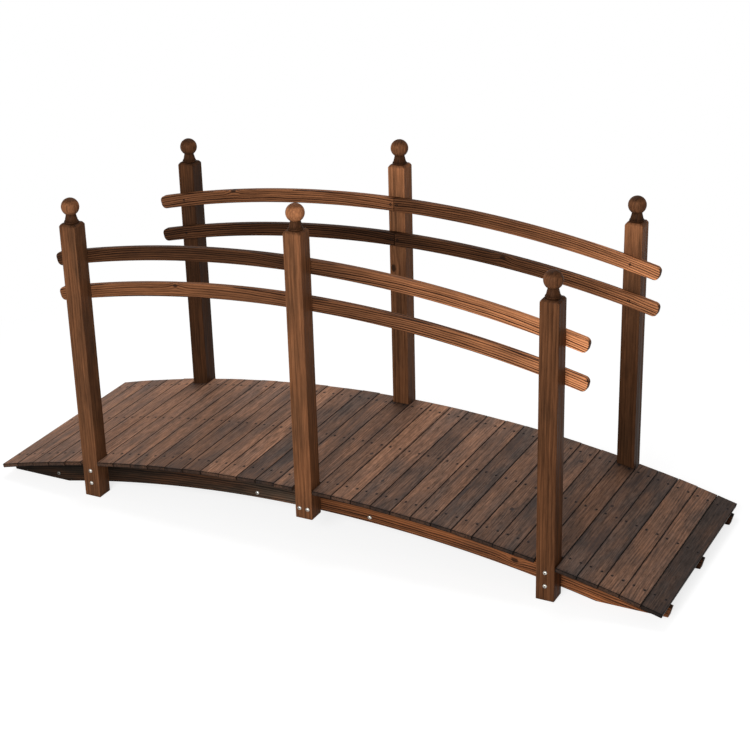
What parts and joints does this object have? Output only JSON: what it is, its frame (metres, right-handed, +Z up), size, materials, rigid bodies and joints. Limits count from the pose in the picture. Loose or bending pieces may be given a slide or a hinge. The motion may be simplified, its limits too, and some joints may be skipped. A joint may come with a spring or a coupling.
{
  "type": "arched wooden garden bridge",
  "caption": "Low arched timber footbridge with a plank deck on arched stringers, ball-topped posts and twin curved handrails on each side.",
  "frame": {"origin": "middle of the bridge at ground level", "axes": "+X along the bridge to the right, +Y across it to the back, +Z up"},
  "size_m": [2.1522, 0.69, 1.0219],
  "materials": {
    "deck_wood": "brown stain, dull, nailed planks",
    "stringer_wood": "brown stain, satin",
    "post_wood": "red-brown stain with strong grain, satin",
    "rail_wood": "orange-brown stain with strong grain, satin",
    "plated_steel": "zinc-plated"
  },
  "bodies": {
    "root": {"left_end_boards": "deck_wood", "left_short_board": "deck_wood", "left_bay_boards": "deck_wood", "middle_short_board": "deck_wood", "right_bay_boards": "deck_wood", "right_short_board": "deck_wood", "right_end_boards": "deck_wood", "front_left_stringer": "stringer_wood", "front_right_stringer": "stringer_wood", "centre_left_stringer": "stringer_wood", "centre_right_stringer": "stringer_wood", "back_left_stringer": "stringer_wood", "back_right_stringer": "stringer_wood", "front_splice_cleat": "stringer_wood", "centre_splice_cleat": "stringer_wood", "back_splice_cleat": "stringer_wood", "front_left_post": "post_wood", "front_middle_post": "post_wood", "front_right_post": "post_wood", "back_left_post": "post_wood", "back_middle_post": "post_wood", "back_right_post": "post_wood", "front_left_finial": "post_wood", "front_middle_finial": "post_wood", "front_right_finial": "post_wood", "back_left_finial": "post_wood", "back_middle_finial": "post_wood", "back_right_finial": "post_wood", "front_upper_left_rail": "rail_wood", "front_upper_right_rail": "rail_wood", "front_lower_left_rail": "rail_wood", "front_lower_right_rail": "rail_wood", "back_upper_left_rail": "rail_wood", "back_upper_right_rail": "rail_wood", "back_lower_left_rail": "rail_wood", "back_lower_right_rail": "rail_wood", "front_post_bolts": "plated_steel", "back_post_bolts": "plated_steel", "splice_bolts": "plated_steel", "tip_bolts": "plated_steel"}
  },
  "joints": []
}
